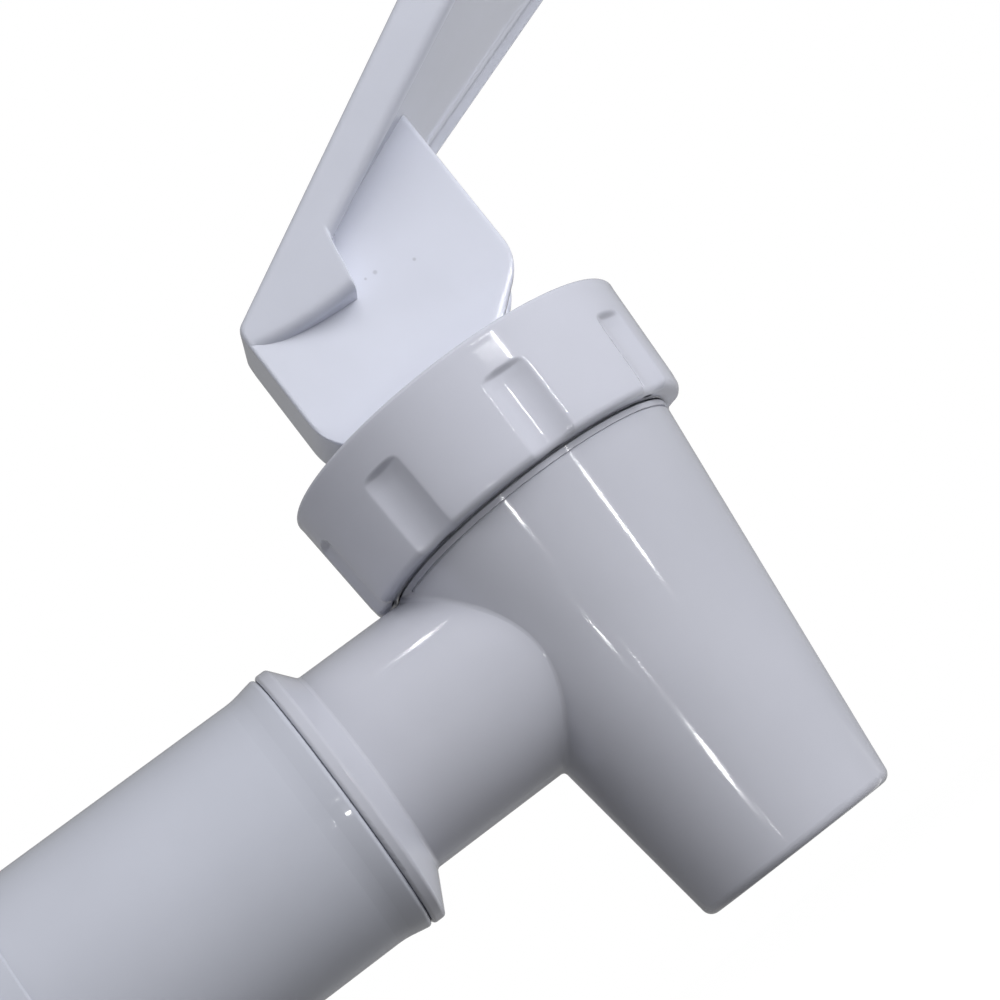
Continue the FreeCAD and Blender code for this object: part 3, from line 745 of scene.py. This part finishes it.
def surface(name, tint, spread, cloud, roughness, ripple):
    """Starts a material: cloudy tint, uneven gloss and a fine ripple, all on Object coordinates.

    The cloud moves the tint between its low and high share, roughness is a low and a high value,
    and the ripple is a scale and a height.
    """
    material = bpy.data.materials.new(name)
    material.use_nodes = True
    tree = material.node_tree
    tree.nodes.clear()
    out = plain_node(tree, "ShaderNodeOutputMaterial", (700, 0))
    shader = plain_node(tree, "ShaderNodeBsdfPrincipled", (400, 0))
    tree.links.new(shader.outputs["BSDF"], out.inputs["Surface"])
    place = plain_node(tree, "ShaderNodeTexCoord", (-900, 0)).outputs["Object"]
    clouds = noise(tree, (-600, 200), place, scale=cloud, detail=4.0)
    ramp = plain_node(tree, "ShaderNodeValToRGB", (-300, 200))
    low, high = ramp.color_ramp.elements
    low.position, high.position = 0.3, 0.7
    low.color = (*[spread[0] * c for c in tint], 1.0)
    high.color = (*[min(1.0, spread[1] * c) for c in tint], 1.0)
    tree.links.new(clouds.outputs["Fac"], ramp.inputs["Fac"])
    tree.links.new(ramp.outputs["Color"], shader.inputs["Base Color"])
    smear = noise(tree, (-600, -100), place, scale=240.0, detail=5.0)
    gloss = plain_node(tree, "ShaderNodeMapRange", (-300, -100))
    gloss.inputs["To Min"].default_value = roughness[0]
    gloss.inputs["To Max"].default_value = roughness[1]
    tree.links.new(smear.outputs["Fac"], gloss.inputs["Value"])
    tree.links.new(gloss.outputs["Result"], shader.inputs["Roughness"])
    waves = noise(tree, (-600, -400), place, scale=ripple[0], detail=2.0)
    bump = plain_node(tree, "ShaderNodeBump", (-300, -400))
    bump.inputs["Strength"].default_value = 0.3
    bump.inputs["Distance"].default_value = ripple[1]
    tree.links.new(waves.outputs["Fac"], bump.inputs["Height"])
    tree.links.new(bump.outputs["Normal"], shader.inputs["Normal"])
    return material, shader, place, ramp.outputs["Color"]


# Moulding specks on the near cheek: place and radius in metres. A speck's tint, how much of it
# covers the middle, and where it fades, in radii.
SPECK_TINT = (0.22, 0.22, 0.26, 1.0)
SPECK_COVER = 0.35
SPECK_FADE = (0.5, 1.2)
CHEEK_SPECKS = (
    ((0.0640, -0.00445, 0.0312), 0.00016),
    ((0.0608, -0.00445, 0.0322), 0.00020),
    ((0.05985, -0.00445, 0.0322), 0.00013),
)


def moulded_plastic(name, tint, roughness, specks=()):
    """Polished white plastic, with small dark specks where the moulding has them."""
    material, shader, place, colour = surface(
        name, tint, spread=(0.97, 1.03), cloud=70.0,
        roughness=(roughness - 0.02, roughness + 0.03), ripple=(500.0, 0.000004),
    )
    shader.inputs["Specular IOR Level"].default_value = 0.4
    tree = material.node_tree
    for number, (centre, radius) in enumerate(specks):
        level = 500 + 200 * number
        away = plain_node(tree, "ShaderNodeVectorMath", (-600, level), operation="DISTANCE")
        away.inputs[1].default_value = centre
        tree.links.new(place, away.inputs[0])
        near = plain_node(tree, "ShaderNodeMapRange", (-300, level))
        near.inputs["From Min"].default_value = SPECK_FADE[0] * radius
        near.inputs["From Max"].default_value = SPECK_FADE[1] * radius
        near.inputs["To Min"].default_value = SPECK_COVER
        near.inputs["To Max"].default_value = 0.0
        tree.links.new(away.outputs["Value"], near.inputs["Value"])
        mix = plain_node(tree, "ShaderNodeMix", (-50, level), data_type="RGBA")
        # A mix node keeps its colour sockets behind those of its other kinds.
        factor, plain, dark, mixed = mix.inputs[0], mix.inputs[6], mix.inputs[7], mix.outputs[2]
        dark.default_value = SPECK_TINT
        tree.links.new(near.outputs["Result"], factor)
        tree.links.new(colour, plain)
        colour = mixed
        tree.links.new(colour, shader.inputs["Base Color"])
    return material


def natural_acetal(name, tint):
    """Unpolished natural acetal: creamy, with a satin gloss."""
    material, shader, _, _ = surface(
        name, tint, spread=(0.93, 1.03), cloud=120.0,
        roughness=(0.36, 0.50), ripple=(1500.0, 0.00003),
    )
    shader.inputs["Subsurface Weight"].default_value = 0.15
    shader.inputs["Subsurface Scale"].default_value = 0.001
    return material


def milky_silicone(name, tint):
    """Soft milky silicone with a dull skin."""
    material, shader, _, _ = surface(
        name, tint, spread=(0.92, 1.04), cloud=90.0,
        roughness=(0.42, 0.58), ripple=(1100.0, 0.00004),
    )
    shader.inputs["Subsurface Weight"].default_value = 0.35
    shader.inputs["Subsurface Scale"].default_value = 0.0015
    return material


def drawn_wire(tint):
    """Drawn stainless wire: metallic, with fine streaks."""
    material, shader, _, _ = surface(
        "drawn_wire", tint, spread=(0.8, 1.1), cloud=900.0,
        roughness=(0.22, 0.38), ripple=(3000.0, 0.00001),
    )
    shader.inputs["Metallic"].default_value = 1.0
    return material


def dress(node, material):
    """Gives a CAD node one material all over."""
    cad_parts[node].data.materials.clear()
    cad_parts[node].data.materials.append(material)


class TAP_OT_dress_nodes(bpy.types.Operator):
    """Gives the CAD nodes that stay visible their finishes."""

    bl_idname = "tap.dress_nodes"
    bl_label = "Finish CAD nodes"

    def execute(self, context):
        tint = context.scene.tap_finish
        dress("valve_body", moulded_plastic("shell_plastic", tint.shell_tint, tint.gloss))
        dress("inlet_sleeve", moulded_plastic("sleeve_plastic", tint.sleeve_tint, tint.gloss))
        dress("inlet_gasket", milky_silicone("gasket_silicone", tint.silicone_tint))
        dress("valve_stem", natural_acetal("stem_acetal", tint.stem_tint))
        dress("spring_washer", natural_acetal("washer_acetal", tint.stem_tint))
        return {"FINISHED"}


def from_angles(around, up):
    """Direction from the tap towards a lamp: degrees round from the near side, and above level."""
    around, up = math.radians(around), math.radians(up)
    level = math.cos(up)
    return Vector((math.sin(around) * level, -math.cos(around) * level, math.sin(up)))


def strip_lamp(name, first, last, away, wide, radiance):
    """An oblong lamp that spans two directions at one distance and faces the tap.

    Its power is its radiance times pi times its area.
    """
    middle = Vector((TAP_X * MM, 0.0, 0.0))
    first, last = middle + away * first, middle + away * last
    place = (first + last) / 2
    along = (last - first).normalized()
    beam = (middle - place).normalized()
    side = beam.cross(along)
    light = bpy.data.lights.new(name, "AREA")
    light.shape = "RECTANGLE"
    light.size = wide
    light.size_y = (last - first).length
    light.energy = radiance * math.pi * light.size * light.size_y
    lamp = bpy.data.objects.new(name, light)
    bpy.context.scene.collection.objects.link(lamp)
    turn = Matrix((side, along, -beam)).transposed().to_4x4()
    lamp.matrix_world = Matrix.Translation(place) @ turn
    return lamp


# Narrow lamps that draw the highlights: name, the two ends in degrees round and up, distance and
# width in metres, and radiance.
STRIPS = (
    ("right_strip", (31.3, -3.3), (32.5, -6.8), 0.5, 0.013, 60.0),
    ("right_dot", (30.9, -2.2), (31.0, -2.5), 0.5, 0.008, 45.0),
    ("cap_strip", (17.0, 8.4), (31.0, 8.4), 0.6, 0.005, 36.0),
    ("groove_strip", (31.0, 1.0), (31.6, 9.2), 0.6, 0.011, 90.0),
    ("left_strip_top", (-22.9, -3.1), (-22.4, -3.4), 0.3, 0.005, 190.0),
    ("left_strip_middle", (-20.8, -10.5), (-20.6, -10.8), 0.3, 0.006, 70.0),
    ("left_strip_low", (-20.1, -14.2), (-23.6, -15.9), 0.3, 0.008, 60.0),
    ("left_dot", (-18.2, -18.1), (-18.3, -18.3), 0.3, 0.004, 120.0),
    ("saddle_dot", (-29.3, -8.4), (-29.5, -8.8), 0.3, 0.008, 90.0),
    ("top_strip", (11.5, 67.8), (12.8, 67.7), 0.6, 0.034, 60.0),
)
# Broad soft lamps that shade the mouldings: name, degrees round, up and from the middle to each
# end, distance and width in metres, and radiance.
WINDOWS = (
    ("key_window", 20.0, 35.0, 13.0, 0.9, 0.4, 4.3),
    ("front_window", 20.0, 12.0, 12.0, 0.9, 0.4, 3.0),
    ("right_window", 50.0, 14.0, 13.0, 0.9, 0.4, 8.6),
    ("back_window", 120.0, 2.0, 6.0, 0.9, 0.4, 6.0),
    ("left_window", -75.0, 35.0, 13.0, 0.9, 0.4, 4.6),
    ("under_window", 150.0, -20.0, 6.0, 0.22, 0.12, 22.0),
)
# The photograph's camera: its place in metres, its turn to the right of +Y, tilt upwards and roll
# clockwise in degrees, its sensor's width in millimetres, and its nearest and farthest sight.
CAMERA_PLACE = (0.02608, -0.18576, -0.02291)
CAMERA_TURNS = (9.8, 10.47, 37.98)
SENSOR_WIDTH = 36.0
SIGHT = (0.01, 20.0)
# The floor's half width in metres, its matt grey and its glow, and how white gloss sees the room.
FLOOR_HALF = 3.0
FLOOR_GREY = 0.22
FLOOR_GLOW = 0.98
GLOSS_WHITE = 0.25
WHITE = (1.0, 1.0, 1.0, 1.0)


class TAP_OT_set_stage(bpy.types.Operator):
    """Lays the pale floor, lights the tap and sets the photograph's camera."""

    bl_idname = "tap.set_stage"
    bl_label = "Stage"

    def execute(self, context):
        stage = context.scene.tap_stage
        mesh = bpy.data.meshes.new("floor")
        level = stage.floor_level
        corners = [
            (-FLOOR_HALF, -FLOOR_HALF, level),
            (FLOOR_HALF, -FLOOR_HALF, level),
            (FLOOR_HALF, FLOOR_HALF, level),
            (-FLOOR_HALF, FLOOR_HALF, level),
        ]
        mesh.from_pydata(corners, [], [(0, 1, 2, 3)])
        floor = bpy.data.objects.new("floor", mesh)
        context.scene.collection.objects.link(floor)
        floor.data.materials.append(pale_floor())
        white_room(context.scene, stage.room_light)

        for name, first, last, away, wide, radiance in STRIPS:
            strip_lamp(name, from_angles(*first), from_angles(*last), away, wide, radiance)
        for name, around, up, half, away, wide, radiance in WINDOWS:
            low, high = from_angles(around, up - half), from_angles(around, up + half)
            window = strip_lamp(name, low, high, away, wide, radiance)
            window.visible_glossy = False

        yaw, pitch, roll = (math.radians(turn) for turn in CAMERA_TURNS)
        ahead = Vector((
            math.sin(yaw) * math.cos(pitch),
            math.cos(yaw) * math.cos(pitch),
            math.sin(pitch),
        ))
        level_right = ahead.cross(Vector((0, 0, 1))).normalized()
        level_up = level_right.cross(ahead)
        right = math.cos(roll) * level_right - math.sin(roll) * level_up
        up = math.sin(roll) * level_right + math.cos(roll) * level_up
        eye = bpy.data.cameras.new("photo_camera")
        eye.lens = stage.lens
        eye.sensor_width = SENSOR_WIDTH
        eye.clip_start, eye.clip_end = SIGHT
        camera = bpy.data.objects.new("photo_camera", eye)
        context.scene.collection.objects.link(camera)
        turn = Matrix((right, up, -ahead)).transposed().to_4x4()
        camera.matrix_world = Matrix.Translation(CAMERA_PLACE) @ turn
        context.scene.camera = camera
        context.scene.view_settings.view_transform = "Standard"
        return {"FINISHED"}


def seen_white(tree, path):
    """How white the room is: fully to the camera and through clear parts, less in gloss."""
    glossy = plain_node(tree, "ShaderNodeMath", (-300, 100), operation="MULTIPLY")
    glossy.inputs[1].default_value = GLOSS_WHITE
    direct = plain_node(tree, "ShaderNodeMath", (-200, 0), operation="MAXIMUM")
    clear = plain_node(tree, "ShaderNodeMath", (-100, 0), operation="MAXIMUM")
    tree.links.new(path.outputs["Is Glossy Ray"], glossy.inputs[0])
    tree.links.new(path.outputs["Is Camera Ray"], direct.inputs[0])
    tree.links.new(glossy.outputs["Value"], direct.inputs[1])
    tree.links.new(direct.outputs["Value"], clear.inputs[0])
    tree.links.new(path.outputs["Is Transmission Ray"], clear.inputs[1])
    return clear.outputs["Value"]


def pale_floor():
    """A matt grey floor whose glow shows it white to the camera, while it takes the shadow."""
    material = bpy.data.materials.new("pale_floor")
    material.use_nodes = True
    tree = material.node_tree
    tree.nodes.clear()
    out = plain_node(tree, "ShaderNodeOutputMaterial", (600, 0))
    both = plain_node(tree, "ShaderNodeAddShader", (400, 0))
    matt = plain_node(tree, "ShaderNodeBsdfDiffuse", (100, 100))
    matt.inputs["Color"].default_value = (FLOOR_GREY, FLOOR_GREY, FLOOR_GREY, 1.0)
    glow = plain_node(tree, "ShaderNodeEmission", (100, -100))
    path = plain_node(tree, "ShaderNodeLightPath", (-400, -100))
    level = plain_node(tree, "ShaderNodeMath", (-50, -150), operation="MULTIPLY")
    level.inputs[1].default_value = FLOOR_GLOW
    tree.links.new(seen_white(tree, path), level.inputs[0])
    tree.links.new(level.outputs["Value"], glow.inputs["Strength"])
    tree.links.new(matt.outputs["BSDF"], both.inputs[0])
    tree.links.new(glow.outputs["Emission"], both.inputs[1])
    tree.links.new(both.outputs["Shader"], out.inputs["Surface"])
    return material


def white_room(scene, strength):
    """White to the camera, part white in gloss, and an even plain light on the object."""
    world = bpy.data.worlds.new("white_room")
    scene.world = world
    world.use_nodes = True
    tree = world.node_tree
    tree.nodes.clear()
    out = plain_node(tree, "ShaderNodeOutputWorld", (600, 0))
    pick = plain_node(tree, "ShaderNodeMixShader", (400, 0))
    even = plain_node(tree, "ShaderNodeBackground", (100, 100))
    even.inputs["Color"].default_value = WHITE
    even.inputs["Strength"].default_value = strength
    white = plain_node(tree, "ShaderNodeBackground", (100, -100))
    white.inputs["Color"].default_value = WHITE
    white.inputs["Strength"].default_value = 1.0
    path = plain_node(tree, "ShaderNodeLightPath", (-400, 0))
    tree.links.new(seen_white(tree, path), pick.inputs["Fac"])
    tree.links.new(even.outputs["Background"], pick.inputs[1])
    tree.links.new(white.outputs["Background"], pick.inputs[2])
    tree.links.new(pick.outputs["Shader"], out.inputs["Surface"])


class TAP_PT_pieces(bpy.types.Panel):
    """Lists the operators that dress the tap."""

    bl_idname = "TAP_PT_pieces"
    bl_label = "Dispenser tap"
    bl_space_type = "VIEW_3D"
    bl_region_type = "UI"
    bl_category = "Tap"

    def draw(self, context):
        for step in STEPS:
            self.layout.operator(step.bl_idname)


SETTINGS = {
    "tap_cap": CapSettings,
    "tap_lever": LeverSettings,
    "tap_inner": InnerSettings,
    "tap_finish": FinishSettings,
    "tap_stage": StageSettings,
}
STEPS = (
    TAP_OT_cap,
    TAP_OT_lever,
    TAP_OT_thread,
    TAP_OT_spring,
    TAP_OT_seat_cup,
    TAP_OT_dress_nodes,
    TAP_OT_set_stage,
)
CLASSES = (*SETTINGS.values(), *STEPS, TAP_PT_pieces)


def register():
    """Adds the classes and their settings to Blender."""
    for item in CLASSES:
        bpy.utils.register_class(item)
    for name, group in SETTINGS.items():
        setattr(bpy.types.Scene, name, PointerProperty(type=group))


def unregister():
    """Takes the settings and classes away again."""
    for name in SETTINGS:
        delattr(bpy.types.Scene, name)
    for item in reversed(CLASSES):
        bpy.utils.unregister_class(item)


def main():
    """Builds every piece in order."""
    register()
    bpy.ops.tap.cap()
    bpy.ops.tap.lever()
    bpy.ops.tap.thread()
    bpy.ops.tap.spring()
    bpy.ops.tap.seat_cup()
    bpy.ops.tap.dress_nodes()
    bpy.ops.tap.set_stage()


if __name__ == "__main__":
    main()
